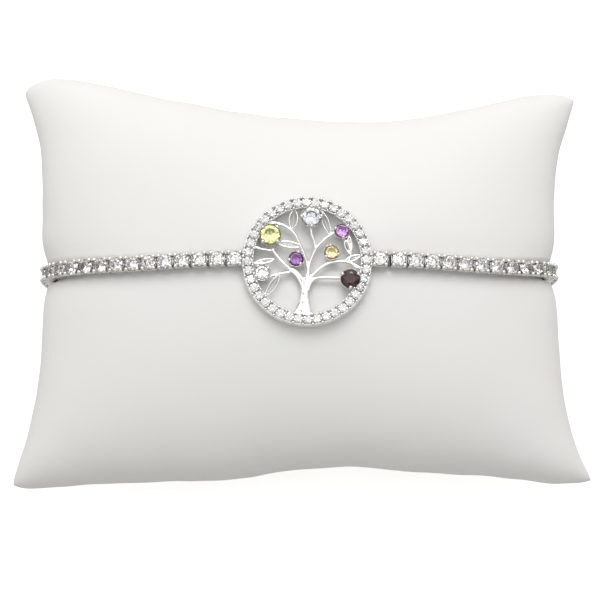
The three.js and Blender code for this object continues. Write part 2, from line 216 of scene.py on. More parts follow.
def make_fine_wear():
    group, given, result = shader_group(
        "fine_wear",
        [("Scale", "Float", 1000.0), ("Smoothest", "Float", 0.1), ("Roughest", "Float", 0.2)],
        [("Roughness", "Float"), ("Height", "Float")])
    place = add(group, "TexCoord")
    stretch = add(group, "Mapping", Scale=(1, 6, 3), Rotation=(0.3, 0.2, 0.6))
    hairs = add(group, "TexNoise", Detail=4.0, Roughness=0.65)
    range_of_hairs = add(group, "MapRange", From_Min=0.35, From_Max=0.7)
    connect(group, (place, "Object", stretch, "Vector"), (stretch, "Vector", hairs, "Vector"),
            (given, "Scale", hairs, "Scale"), (hairs, "Fac", range_of_hairs, "Value"),
            (given, "Smoothest", range_of_hairs, "To Min"),
            (given, "Roughest", range_of_hairs, "To Max"),
            (range_of_hairs, "Result", result, "Roughness"), (hairs, "Fac", result, "Height"))
    return group


TINT_DRIFT = make_tint_drift()
FINE_WEAR = make_fine_wear()
print("shared effects:", TINT_DRIFT.name, FINE_WEAR.name)

# %% [markdown]
# ## The finishes
#
# A finish is a Principled shader with patterns that feed its sockets. Leatherette is a printed
# plastic skin: a fine pebbled grain so shallow that it only softens the highlight. The grain is
# a bump of Voronoi cells half a millimetre across.

# %% Make the leatherette


def new_finish(name):
    material = bpy.data.materials.new(name)
    material.use_nodes = True
    return material, material.node_tree, material.node_tree.nodes["Principled BSDF"]


def place_group(tree, group, **values):
    made = tree.nodes.new("ShaderNodeGroup")
    made.node_tree = group
    for name, value in values.items():
        made.inputs[name.replace("_", " ")].default_value = value
    return made


def make_leatherette():
    material, tree, skin = new_finish("leatherette_skin")
    drift = place_group(tree, TINT_DRIFT, Color_A=(0.80, 0.805, 0.79, 1), Color_B=(0.835, 0.83, 0.825, 1),
                        Scale=22.0)
    wear = place_group(tree, FINE_WEAR, Scale=260.0, Smoothest=0.5, Roughest=0.62)
    place = add(tree, "TexCoord")
    pebbles = add(tree, "TexVoronoi", {"feature": "SMOOTH_F1"}, Scale=1900.0, Smoothness=0.6)
    bump = add(tree, "Bump", Strength=0.12, Distance=0.06 * MM)
    connect(tree, (drift, "Color", skin, "Base Color"), (wear, "Roughness", skin, "Roughness"),
            (place, "Object", pebbles, "Vector"), (pebbles, "Distance", bump, "Height"),
            (bump, "Normal", skin, "Normal"))
    skin.inputs["Specular IOR Level"].default_value = 0.35
    skin.inputs["Sheen Weight"].default_value = 0.15
    return material


LEATHERETTE = make_leatherette()
print("made", LEATHERETTE.name)

# %% [markdown]
# Silver jewellery is plated with rhodium, which is a little greyer than silver and keeps its
# shine. Deep places are rougher and darkened with painted shade: a little in the ring's channel,
# under its stones, and much darker between the links and inside the cups. Each has a finish of
# its own.

# %% Make the silver


def make_silver(name, light, dark, smoothest, roughest):
    material, tree, metal = new_finish(name)
    drift = place_group(tree, TINT_DRIFT, Color_A=(*light, 1), Color_B=(*dark, 1), Scale=900.0)
    wear = place_group(tree, FINE_WEAR, Scale=1500.0, Smoothest=smoothest, Roughest=roughest)
    bump = add(tree, "Bump", Strength=0.06, Distance=0.01 * MM)
    connect(tree, (drift, "Color", metal, "Base Color"), (wear, "Roughness", metal, "Roughness"),
            (wear, "Height", bump, "Height"), (bump, "Normal", metal, "Normal"))
    metal.inputs["Metallic"].default_value = 1.0
    return material


SILVER = make_silver("rhodium_silver", (0.94, 0.925, 0.905), (0.88, 0.865, 0.85), 0.09, 0.2)
# Painted shade: a dark silver for the bars and hinge blocks between the links, and inside the cups of the
# five coloured stones other than the topaz.
DEEP_SHADE_SILVER = make_silver("silver_deep_painted_shade", (0.2, 0.195, 0.19), (0.12, 0.117, 0.112), 0.3, 0.5)
# Painted shade, lighter: for the ring's channel under its stones and inside the cups of the topaz and the
# white stone.
SHADED_CHANNEL_SILVER = make_silver("silver_painted_shade_under_stones", (0.66, 0.65, 0.64), (0.52, 0.515, 0.51), 0.2, 0.35)
print("made", SILVER.name, DEEP_SHADE_SILVER.name, SHADED_CHANNEL_SILVER.name)

# %% [markdown]
# A cut stone is glass with a strong bend: light goes in through the crown, turns round on the
# pavilion and comes out again. Its colour is in the body of the stone, which a coloured glass
# shader stands for. The index of refraction is near the real one of each mineral, and a little
# higher where a stone should sparkle more. The ring's stones are given a greyer colour than the
# chain's: painted shade for the deep channel they sit in. The single white stone is the brightest,
# and it and every coloured stone but the garnet glow a little, which is painted light. The inner
# amethyst is deeper in colour than the upper one.

# %% Make the stones' finishes
STONE_FINISHES = {
    "shaded_paved_stone": {"light": (0.86, 0.855, 0.845), "dark": (0.70, 0.695, 0.69), "ior": 2.1, "glow": 0.0},
    "white_stone": {"light": (0.96, 0.96, 0.955), "dark": (0.90, 0.90, 0.895), "ior": 2.1, "glow": 0.03},
    "clear_stone": {"light": (0.955, 0.95, 0.94), "dark": (0.87, 0.865, 0.86), "ior": 2.1, "glow": 0.0},
    "peridot_green": {"light": (0.87, 0.88, 0.46), "dark": (0.79, 0.82, 0.34), "ior": 1.67, "glow": 0.05},
    "topaz_blue": {"light": (0.76, 0.78, 0.82), "dark": (0.62, 0.66, 0.72), "ior": 1.85, "glow": 0.03},
    "amethyst_violet": {"light": (0.78, 0.50, 0.88), "dark": (0.58, 0.28, 0.72), "ior": 1.62, "glow": 0.04},
    "deep_amethyst": {"light": (0.53, 0.25, 0.68), "dark": (0.33, 0.12, 0.48), "ior": 1.62, "glow": 0.03},
    "citrine_yellow": {"light": (0.94, 0.84, 0.48), "dark": (0.83, 0.69, 0.30), "ior": 1.62, "glow": 0.05},
    "garnet_red": {"light": (0.055, 0.008, 0.01), "dark": (0.03, 0.004, 0.006), "ior": 1.77, "glow": 0.0},
}


def make_stone_finish(name, light, dark, ior, glow):
    material, tree, stone = new_finish(name)
    drift = place_group(tree, TINT_DRIFT, Color_A=(*light, 1), Color_B=(*dark, 1), Scale=700.0)
    wear = place_group(tree, FINE_WEAR, Scale=900.0, Smoothest=0.0, Roughest=0.02)
    connect(tree, (drift, "Color", stone, "Base Color"), (wear, "Roughness", stone, "Roughness"))
    stone.inputs["Transmission Weight"].default_value = 1.0
    stone.inputs["IOR"].default_value = ior
    # A glow is painted light: the stone shines a little with its own colour, though it is no lamp.
    if glow:
        connect(tree, (drift, "Color", stone, "Emission Color"))
        stone.inputs["Emission Strength"].default_value = glow
    return material


STONES = {name: make_stone_finish("cut_" + name, **look) for name, look in STONE_FINISHES.items()}
print("made", len(STONES), "stone finishes")

# %% [markdown]
# ## The floor
#
# A plain white sheet, large enough for every view. It looks as if it were lit from below, so
# that the shadow under the pillow stays faint, but it throws little of that light back at the
# pillow: the glow is only for what is looking straight at it.

# %% Lay the floor
FLOOR = {"half": 1500 * MM, "color": (0.7, 0.7, 0.7, 1), "drift": (0.72, 0.72, 0.715, 1), "glow": 0.9}


def to_mesh(name, bm):
    mesh = bpy.data.meshes.new(name)
    bm.to_mesh(mesh)
    bm.free()
    return mesh


def make_floor():
    material, tree, paper = new_finish("white_paper")
    drift = place_group(tree, TINT_DRIFT, Color_A=FLOOR["color"], Color_B=FLOOR["drift"], Scale=8.0)
    looked_at = add(tree, "LightPath")
    glow = add(tree, "Math", {"operation": "MULTIPLY"})
    glow.inputs[1].default_value = FLOOR["glow"]
    connect(tree, (looked_at, "Is Camera Ray", glow, 0), (glow, "Value", paper, "Emission Strength"),
            (drift, "Color", paper, "Base Color"), (drift, "Color", paper, "Emission Color"))
    paper.inputs["Roughness"].default_value = 0.8
    bm = bmesh.new()
    bmesh.ops.create_grid(bm, x_segments=4, y_segments=4, size=FLOOR["half"])
    floor = put_in_scene("floor", to_mesh("floor", bm))
    floor.data.materials.append(material)


make_floor()
print("the floor is", 2 * FLOOR["half"], "m wide")

# %% [markdown]
# ## How a piece is finished
#
# Jewellery is drawn in millimetres, and the frame is in metres. Each piece is modelled at
# millimetre size, where Blender's operators work well, and `finish_piece` makes it metres at
# the end, turns its faces outwards, smooths the sides that meet gently, and fastens it to the
# body of the frame.

# %% Define the last step of each piece


def finish_piece(name, bm, finishes, nodes, crease=40):
    bmesh.ops.recalc_face_normals(bm, faces=bm.faces)
    bmesh.ops.transform(bm, matrix=Matrix.Scale(MM, 4), verts=bm.verts)
    mesh = to_mesh(name, bm)
    for finish in finishes:
        mesh.materials.append(finish)
    mesh.shade_smooth()
    mesh.set_sharp_from_angle(angle=math.radians(crease))
    piece = put_in_scene(name, mesh)
    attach(piece, "root")
    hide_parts(*nodes)
    mesh.calc_loop_triangles()
    print(name, "has", len(mesh.loop_triangles), "triangles")
    return piece


print("a piece is drawn at", round(1 / MM), "times its size")

# %% [markdown]
# ## The way round the pillow
#
# The chain and the dent in the pillow follow one loop. Its section is a superellipse, a
# rounded box whose bluntness is one number. The loop is measured once and then asked for the
# point at a given length, so that the links stand an even distance apart.

# %% Lay out the loop
MEDALLION_LOW, MEDALLION_HIGH = (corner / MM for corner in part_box("tree_medallion"))
MEDALLION = Vector(((MEDALLION_LOW.x + MEDALLION_HIGH.x) / 2, (MEDALLION_LOW.y + MEDALLION_HIGH.y) / 2,
                    MEDALLION_LOW.z))
SEAM_Z = 16.1
LOOP = {"y": -0.08, "skew": -0.014, "push": 0.7, "push_reach": 20, "lift": 0.6, "lift_from": 24,
        "half_width": 36.3, "front": {"height": 13.4, "blunt": 2.9}, "back": {"height": 14.8, "blunt": 4}}
LOOP_STEPS = 4000


def shares(steps):
    """Even shares from 0 to 1, both ends included."""
    return [step / steps for step in range(steps + 1)]


def power(value, exponent):
    """A power that keeps the sign."""
    return math.copysign(abs(value) ** exponent, value)


def loop_y(x, front):
    pushed = LOOP["push"] * math.exp(-((x - MEDALLION.x) / LOOP["push_reach"]) ** 4) if front else 0
    lifted = LOOP["lift"] * max(0, (x - LOOP["lift_from"]) / (LOOP["half_width"] - LOOP["lift_from"])) ** 3
    return LOOP["y"] + LOOP["skew"] * x + pushed + lifted


def loop_point(share):
    angle = -math.pi / 2 - 2 * math.pi * share
    above = math.sin(angle) > 0
    half = LOOP["front" if above else "back"]
    x = LOOP["half_width"] * power(math.cos(angle), 2 / half["blunt"])
    z = half["height"] * power(math.sin(angle), 2 / half["blunt"])
    return Vector((x, loop_y(x, above), SEAM_Z + z))


LOOP_POINTS = [loop_point(share) for share in shares(LOOP_STEPS)]
LOOP_LENGTHS = [0.0]
for here, there in zip(LOOP_POINTS, LOOP_POINTS[1:]):
    LOOP_LENGTHS.append(LOOP_LENGTHS[-1] + (there - here).length)


def point_at(length):
    step = min(max(bisect_left(LOOP_LENGTHS, length), 1), LOOP_STEPS)
    span = LOOP_LENGTHS[step] - LOOP_LENGTHS[step - 1]
    return LOOP_POINTS[step - 1].lerp(LOOP_POINTS[step], (length - LOOP_LENGTHS[step - 1]) / span)


print("the loop is", round(LOOP_LENGTHS[-1], 1), "mm long")

# %% [markdown]
# ## The pillow
#
# Two skins are sewn face to face, turned and stuffed. A stuffed square pulls its own edges
# in, so the waist is narrower than the corners. Each face starts as a flat grid, and every
# point is moved by one rule: a blunt dome that ends in the seam, with the bracelet's dent
# pressed into it. The dent has a groove with steep walls, wider where the clasp lies, and a
# soft slope down to it. A cloth simulation could find such a dome too, but not with the dent
# just where the links lie, so the rule is used and the small folds are added to it.

# %% Shape the pillow's outline
PILLOW = {"front": {"height": 12.4, "blunt": 2.9}, "back": {"height": 17.6, "blunt": 3.2},
          "waist": 37.05, "length_blunt": 2.35, "corner_bend": 9, "rests_below": 0.05}
CORNERS = {
    "upper_left": {"flare": 6.1, "bend": 4.8, "pull": 0.06},
    "upper_right": {"flare": 5.8, "bend": 3.6, "pull": 0.04},
    "lower_left": {"flare": 6.1, "bend": 3.6, "pull": 0.045},
    "lower_right": {"flare": 6.6, "bend": 4.6, "pull": 0.05},
}
SEAMS = {
    "upper": {"lowest": 12, "middle": 22.85,
              "left": {"rise": 9.6, "reach": 52, "bend": 1.8, "round_from": 43, "round": 0.024},
              "right": {"rise": 5.2, "reach": 26, "bend": 1.5, "round_from": 19, "round": 0.015}},
    "lower": {"lowest": 7, "middle": -27.25,
              "left": {"rise": -3.65, "reach": 50, "bend": 1.15, "round_from": 60, "round": 0},
              "right": {"rise": -3.85, "reach": 36, "bend": 1.15, "round_from": 60, "round": 0}},
}
GATHERS = [
    {"x": -30, "y": 0.45, "reach": 7},
    {"x": -10.5, "y": -0.55, "reach": 6},
    {"x": 26.5, "y": 0.4, "reach": 7},
]
DENT = {"depth": 1.45, "groove": 1.35, "wall": 8, "slope": 3.0, "slope_share": 0.5,
        "clasp_room": 0.75, "clasp_reach": 6.8}


def seam_y(edge, x):
    """Where a long seam lies: its lowest place, its rise to each side and its rounding off."""
    seam = SEAMS[edge]
    half = seam["left" if x < seam["lowest"] else "right"]
    away = abs(x - seam["lowest"])
    outward = 1 if edge == "upper" else -1
    rounding = half["round"] * max(0, away - half["round_from"]) ** 2
    gathers = sum(one["y"] * math.exp(-((x - one["x"]) / one["reach"]) ** 2) for one in GATHERS)
    return (seam["middle"] + half["rise"] * (away / half["reach"]) ** half["bend"] - outward * rounding
            + (gathers if edge == "lower" else 0))


def blunt(value, exponent):
    return max(0.0, 1 - abs(value) ** exponent) ** (1 / exponent)


def pillow_point(across, along, side):
    front = side > 0
    row = "upper" if along > 0 else "lower"
    corner = CORNERS[row + ("_left" if across < 0 else "_right")]
    edge = seam_y(row, across * (PILLOW["waist"] + corner["flare"]))
    y = LOOP["y"] + abs(along) * (edge - LOOP["y"])
    middle = loop_y(across * PILLOW["waist"], front and abs(across) < 1)
    at_clasp = 0 if front else math.exp(-(across * LOOP["half_width"] / DENT["clasp_reach"]) ** 8)
    half_groove = DENT["groove"] + DENT["clasp_room"] * at_clasp
    groove = math.exp(-abs((y - middle) / half_groove) ** DENT["wall"])
    press = groove + (1 - groove) * DENT["slope_share"] * math.exp(-((y - middle) / DENT["slope"]) ** 2)

    def pressed(free, tight):
        return free + (tight - free) * press

    flared = PILLOW["waist"] + corner["flare"] * abs(along) ** corner["bend"]
    x = across * pressed(flared, LOOP["half_width"] - DENT["depth"])
    half = "front" if front else "back"
    bluntness = pressed(PILLOW[half]["blunt"], LOOP[half]["blunt"])
    height = pressed(PILLOW[half]["height"], LOOP[half]["height"] - DENT["depth"])
    z = SEAM_Z + side * height * blunt(across, bluntness) * blunt(along, PILLOW["length_blunt"])
    pull = 1 - corner["pull"] * abs(across * along) ** PILLOW["corner_bend"]
    return Vector((x * pull, y * pull, max(z, 0)))


print("from seam to seam it is", round(seam_y("upper", 0) - seam_y("lower", 0), 1), "mm in the middle")

# %% [markdown]
# The seam itself is a shallow valley all round, and the stuffing gathers the skin into small
# puckers that run in from it and die away. Seeded noise gives both their uneven rhythm.

# %% Sew the pillow
GRID = {"across": 150, "along": 176, "gather": 1.35}
SEAM = {"valley": 0.35, "valley_reach": 0.9, "pucker": 0.22, "pucker_reach": 5.0, "pucker_pitch": 4.2}
SOFTNESS = {"height": 0.25, "size": 17.0}


def skin_offset(spot, seam_distance):
    """How far the skin stands proud here: slow swells, the seam's valley and its puckers."""
    swell = SOFTNESS["height"] * noise.noise(spot / SOFTNESS["size"])
    around = Vector((spot.x, spot.y, 0)) / SEAM["pucker_pitch"]
    pucker = SEAM["pucker"] * noise.noise(around) * math.exp(-seam_distance / SEAM["pucker_reach"])
    valley = -SEAM["valley"] * math.exp(-(seam_distance / SEAM["valley_reach"]) ** 2)
    return swell + pucker + valley


def make_pillow():
    bm = bmesh.new()
    for side in (1, -1):
        face = bmesh.ops.create_grid(bm, x_segments=GRID["across"], y_segments=GRID["along"], size=1)
        for vert in face["verts"]:
            across = side * math.sin(vert.co.x * math.pi / 2)
            along = math.sin(power(vert.co.y, GRID["gather"]) * math.pi / 2)
            vert.co = pillow_point(across, along, side)
    bmesh.ops.remove_doubles(bm, verts=bm.verts, dist=1e-4)
    bmesh.ops.recalc_face_normals(bm, faces=bm.faces)
    bm.normal_update()
    moves = []
    for vert in bm.verts:
        near_loop = math.exp(-((vert.co.y - loop_y(vert.co.x, vert.co.z > SEAM_Z)) / DENT["slope"]) ** 2)
        offset = skin_offset(vert.co, abs(vert.co.z - SEAM_Z)) * (1 - near_loop)
        rests = vert.co.z < PILLOW["rests_below"]
        moves.append(vert.normal * (0 if rests else offset))
    for vert, move in zip(bm.verts, moves):
        vert.co += move
        vert.co.z = max(vert.co.z, 0)
    pillow = finish_piece("leatherette_pillow", bm, [LEATHERETTE],
                          ["display_pillow"], crease=70)


make_pillow()

# %% [markdown]
# ## Four ways to shape metal
#
# A goldsmith draws wire, turns rings, files blocks and melts beads, and so do these helpers.
# `bar` pulls a round section along a line of points and changes its width on the way. `turned`
# spins a profile about an upright line. `block` is a cube with softened edges, and `bead` is a
# small ball of few faces.

# %% Define the metalwork helpers


def sections_along(spots):
    """A matrix at each spot: X across the wire, Y over it, Z along it, without twist."""
    across, matrices = None, []
    for index, spot in enumerate(spots):
        ahead = (spots[min(index + 1, len(spots) - 1)] - spots[max(index - 1, 0)]).normalized()
        if across is None:
            level = ahead.cross(Vector((0, 0, 1)))
            across = level if level.length > 0.01 else Vector((1, 0, 0))
        across = (across - ahead * across.dot(ahead)).normalized()
        turn = Matrix((across, ahead.cross(across), ahead)).transposed().to_4x4()
        matrices.append(Matrix.Translation(spot) @ turn)
    return matrices


def bar(bm, spots, widths, heights=None, sides=8):
    """A wire along spots, with its full width and height at each of them."""
    verts, edges, before = None, None, None
    for section, width, height in zip(sections_along(spots), widths, heights or widths):
        place = section @ Matrix.Diagonal((width / 2, height / 2, 1, 1))
        if verts is None:
            verts = bmesh.ops.create_circle(bm, segments=sides, radius=1)["verts"]
            edges = list({edge for vert in verts for edge in vert.link_edges})
            bmesh.ops.contextual_create(bm, geom=edges)
            bmesh.ops.transform(bm, matrix=place, verts=verts)
        else:
            pulled = bmesh.ops.extrude_edge_only(bm, edges=edges)["geom"]
            verts = [item for item in pulled if isinstance(item, bmesh.types.BMVert)]
            edges = [item for item in pulled if isinstance(item, bmesh.types.BMEdge)
                     and all(vert in verts for vert in item.verts)]
            bmesh.ops.transform(bm, matrix=place @ before.inverted(), verts=verts)
        before = place
    bmesh.ops.contextual_create(bm, geom=edges)


def turned(bm, profile, steps, x=0, y=0):
    """A closed profile of (radius, height) spun about the upright line through x, y."""
    verts = [bm.verts.new((x + radius, y, height)) for radius, height in profile]
    edges = [bm.edges.new((here, there)) for here, there in zip(verts, verts[1:] + verts[:1])]
    bmesh.ops.spin(bm, geom=verts + edges, axis=(0, 0, 1), cent=(x, y, 0), angle=2 * math.pi, steps=steps,
                   use_merge=True)


def block(bm, size, centre, soft, material=0):
    place = Matrix.Translation(centre) @ Matrix.Diagonal((*size, 1))
    made = bmesh.ops.create_cube(bm, size=1, matrix=place)
    edges = list({edge for vert in made["verts"] for edge in vert.link_edges})
    faces = {face for vert in made["verts"] for face in vert.link_faces}
    for face in faces:
        face.material_index = material
    bmesh.ops.bevel(bm, geom=edges, offset=soft, segments=1, profile=0.5, affect="EDGES", material=-1)


def bead(bm, centre, radius, flatness=1.0):
    bmesh.ops.create_uvsphere(bm, u_segments=8, v_segments=5, radius=radius,
                              matrix=Matrix.Translation(centre) @ Matrix.Diagonal((1, 1, flatness, 1)))


print("bar, turned, block and bead are ready")

# %% [markdown]
# ## Cutting a brilliant
#
# A cutter grinds one flat at a time on a round blank. So does this: `bisect_plane` takes a
# slice off for each facet and the cut is closed with a face. There are 8 bezel, 8 star and 16
# upper girdle facets round the table, and 8 mains and 16 lower girdle facets below. One cut
# stone of 1 mm serves for all of them, at every size.

# %% Cut one round brilliant
CUT = {"girdle": 0.035, "table": 0.57, "sides": 16}
FACETS = [
    {"count": 8, "turn": 0, "slope": 34.5, "radius": 0.5, "up": 1},
    {"count": 16, "turn": 11.25, "slope": 41.0, "radius": 0.5, "up": 1},
    {"count": 8, "turn": 0, "slope": 40.8, "radius": 0.5, "up": -1},
    {"count": 16, "turn": 11.25, "slope": 42.6, "radius": 0.5, "up": -1},
]
STARS = {"count": 8, "turn": 22.5, "slope": 21.0}


def grind(bm, spot, normal):
    """Takes off everything outside one plane and closes the cut."""
    geom = bm.verts[:] + bm.edges[:] + bm.faces[:]
    made = bmesh.ops.bisect_plane(bm, geom=geom, dist=1e-5, plane_co=spot, plane_no=normal,
                                  clear_outer=True)
    rim = [item for item in made["geom_cut"] if isinstance(item, bmesh.types.BMEdge)]
    if len(rim) > 2:
        bmesh.ops.contextual_create(bm, geom=rim)


def around(angle, radius=1.0, z=0.0):
    return Vector((radius * math.cos(angle), radius * math.sin(angle), z))


def directions(count, turn):
    """Level directions evenly round a circle, the first of them at turn degrees."""
    return [around(math.radians(turn + 360 * index / count)) for index in range(count)]


def facet_ring(bm, count, turn, slope, radius, up, height=CUT["girdle"] / 2):
    tilt = math.radians(slope)
    for out in directions(count, turn):
        grind(bm, out * radius + Vector((0, 0, up * height)),
              out * math.sin(tilt) + Vector((0, 0, up * math.cos(tilt))))


def cut_brilliant():
    bm = bmesh.new()
    bmesh.ops.create_cone(bm, cap_ends=True, segments=CUT["sides"], radius1=0.5, radius2=0.5, depth=1)
    for ring in FACETS:
        facet_ring(bm, **ring)
    crown = CUT["girdle"] / 2 + (0.5 - CUT["table"] / 2) * math.tan(math.radians(FACETS[0]["slope"]))
    star_radius = CUT["table"] / 2 * math.cos(math.radians(STARS["turn"]))
    facet_ring(bm, **STARS, radius=star_radius, up=1, height=crown)
    grind(bm, Vector((0, 0, crown)), Vector((0, 0, 1)))
    bmesh.ops.remove_doubles(bm, verts=bm.verts, dist=1e-4)
    bmesh.ops.recalc_face_normals(bm, faces=bm.faces)
    return to_mesh("brilliant", bm)


BRILLIANT = cut_brilliant()
pavilion = -min(vert.co.z for vert in BRILLIANT.vertices)
print("a brilliant has", len(BRILLIANT.polygons), "facets, and its point is", round(pavilion, 3), "down")

# %% [markdown]
# ## One link of the chain
#
# Each link is an open basket: a tapered cup, four claws with a bead on each end, a smooth
# rail along both sides, and a hinge block that joins it to the next. It is built lying along X
# with its stone facing up. There are sixty-five links, so each of its parts has few faces.

# %% Build the link and its stone
LINK = {"stone": 2.04, "girdle": 0.42, "claw_x": 0.78, "claw_y": 0.79, "foot_z": -1.0, "claw_bend": 0.7,
        "claw_widths": (0.4, 0.34, 0.3), "bead": 0.3, "bead_z": 0.76, "bead_flat": 0.85,
        "rail": (2.06, 0.2, 0.9), "rail_y": 0.86, "rail_z": -0.55,
        "end_wall": (0.14, 1.0, 0.86), "end_x": 1.02, "end_z": -0.05,
        "bar": (0.22, 1.7, 0.25), "bar_x": 0.9, "bar_z": -0.95,
        "hinge": (0.7, 1.6, 0.5), "hinge_x": 1.14, "hinge_z": -0.7, "knuckle": 0.16, "knuckle_z": -0.2}
LINK_CUP = [(0.62, -0.5), (0.8, -0.5), (0.99, 0.3), (0.93, 0.4), (0.78, 0.25)]
# The link's second finish is the silver darkened with painted shade, used for its bars and hinge block.
PAINTED_SHADE_IN_GAPS = 1  # the link's second finish


def add_mesh(bm, mesh, matrix):
    """Adds a copy of a mesh. The copy is put in place first, because new points have no sure order."""
    copy = mesh.copy()
    copy.transform(matrix)
    bm.from_mesh(copy)
    bpy.data.meshes.remove(copy)


def link_mesh(name, hinged):
    bm = bmesh.new()
    turned(bm, LINK_CUP, 12)
    for x in (-1, 1):
        for y in (-1, 1):
            foot = Vector((x * LINK["claw_x"], y * LINK["claw_y"], LINK["foot_z"]))
            top = Vector((foot.x, foot.y, LINK["bead_z"]))
            bar(bm, [foot, foot.lerp(top, LINK["claw_bend"]), top], LINK["claw_widths"], sides=6)
            bead(bm, top, LINK["bead"], LINK["bead_flat"])
        block(bm, LINK["bar"], (x * LINK["bar_x"], 0, LINK["bar_z"]), soft=0.05, material=PAINTED_SHADE_IN_GAPS)
        block(bm, LINK["end_wall"], (x * LINK["end_x"], 0, LINK["end_z"]), soft=0.04)
    for y in (-1, 1):
        block(bm, LINK["rail"], (0, y * LINK["rail_y"], LINK["rail_z"]), soft=0.07)
    if hinged:
        block(bm, LINK["hinge"], (LINK["hinge_x"], 0, LINK["hinge_z"]), soft=0.1, material=PAINTED_SHADE_IN_GAPS)
        bead(bm, Vector((LINK["hinge_x"], 0, LINK["knuckle_z"])), LINK["knuckle"])
    return to_mesh(name, bm)


LINK_MESH = link_mesh("link", hinged=True)
END_LINK_MESH = link_mesh("end_link", hinged=False)
print("a link has", len(LINK_MESH.polygons), "faces")

# %% [markdown]
# ## Both sides of the chain
#
# The links are set out along the loop between the clasp and the medallion. Each is turned so
# that its length follows the chain and its stone faces away from the pillow. The link that ends
# at the medallion's left lug has no hinge block, because the lug takes its place. The stones are
# a piece of their own, because they have another finish, and each is turned at random in its
# claws, so that no two flash alike.

# %% Set out the chain
GAP = 0.3
CLASP_LENGTH = 10.0
LUG_REACH = (MEDALLION_HIGH.x - MEDALLION_LOW.x) / 2
CHAIN_LINKS = {"left": 33, "right": 32}
SNUG = {"left": (0.40, 0.28, 0.14), "right": (0.32, 0.04)}  # how much nearer to it the first links sit
TILT = {"chain": 0.05, "ring": 0.09}  # how far a stone may lean in its claws, in radians
NEARBY = 0.3  # how far to either side of a place the loop's direction is read
TURNS = random.Random(11)


def random_turn():
    return Matrix.Rotation(TURNS.uniform(0, math.pi), 4, "Z")


def unevenly_set(most):
    """A small lean to one side and to the front, as no two stones sit quite alike."""
    lean_x = Matrix.Rotation(TURNS.uniform(-most, most), 4, "X")
    lean_y = Matrix.Rotation(TURNS.uniform(-most, most), 4, "Y")
    return lean_x @ lean_y


def length_at_top(x):
    low, high = LOOP_LENGTHS[LOOP_STEPS // 4], LOOP_LENGTHS[3 * LOOP_STEPS // 4]
    while high - low > 1e-4:
        middle = (low + high) / 2
        low, high = (middle, high) if point_at(middle).x < x else (low, middle)
    return low


STRETCHES = {
    "left": (CLASP_LENGTH / 2 + GAP, length_at_top(MEDALLION.x - LUG_REACH)),
    "right": (length_at_top(MEDALLION.x + LUG_REACH), LOOP_LENGTHS[-1] - CLASP_LENGTH / 2 - GAP),
}


def place_on_loop(length):
    along = (point_at(length + NEARBY) - point_at(length - NEARBY)).normalized()
    out = along.cross(Vector((0, 1, 0))).normalized()
    across = out.cross(along)
    turn = Matrix((along, across, out)).transposed().to_4x4()
    return Matrix.Translation(point_at(length)) @ turn


def make_chain(side):
    start, end = STRETCHES[side]
    count = CHAIN_LINKS[side]
    links, stones = bmesh.new(), bmesh.new()
    for index in range(count):
        from_medallion, inward = (count - 1 - index, 1) if side == "left" else (index, -1)
        snug = inward * SNUG[side][from_medallion] if from_medallion < len(SNUG[side]) else 0
        place = place_on_loop(start + (index + 0.5) * (end - start) / count + snug)
        at_lug = side == "left" and from_medallion == 0
        add_mesh(links, END_LINK_MESH if at_lug else LINK_MESH, place)
        seat = Matrix.Translation((0, 0, LINK["girdle"])) @ random_turn()
        lean = unevenly_set(TILT["chain"])
        add_mesh(stones, BRILLIANT, place @ seat @ lean @ Matrix.Scale(LINK["stone"], 4))
    finish_piece(f"links_{side}", links, [SILVER, DEEP_SHADE_SILVER], [f"chain_{side}"])
    finish_piece(f"chain_stones_{side}", stones, [STONES["clear_stone"]], [], crease=1)
    print(side, "links stand", round((end - start) / count, 3), "mm apart")


for chain_side in CHAIN_LINKS:
    make_chain(chain_side)

# %% [markdown]
# ## The tree
#
# The tree is cast in one piece, so its branches flow into each other. Each branch is a wire
# along a smooth curve through a few points, higher than it is wide. Overlapping wires would
# show hard lines where they cross, so a voxel remesh melts them into one skin, and a little
# smoothing gives it the softness of cast and polished metal.

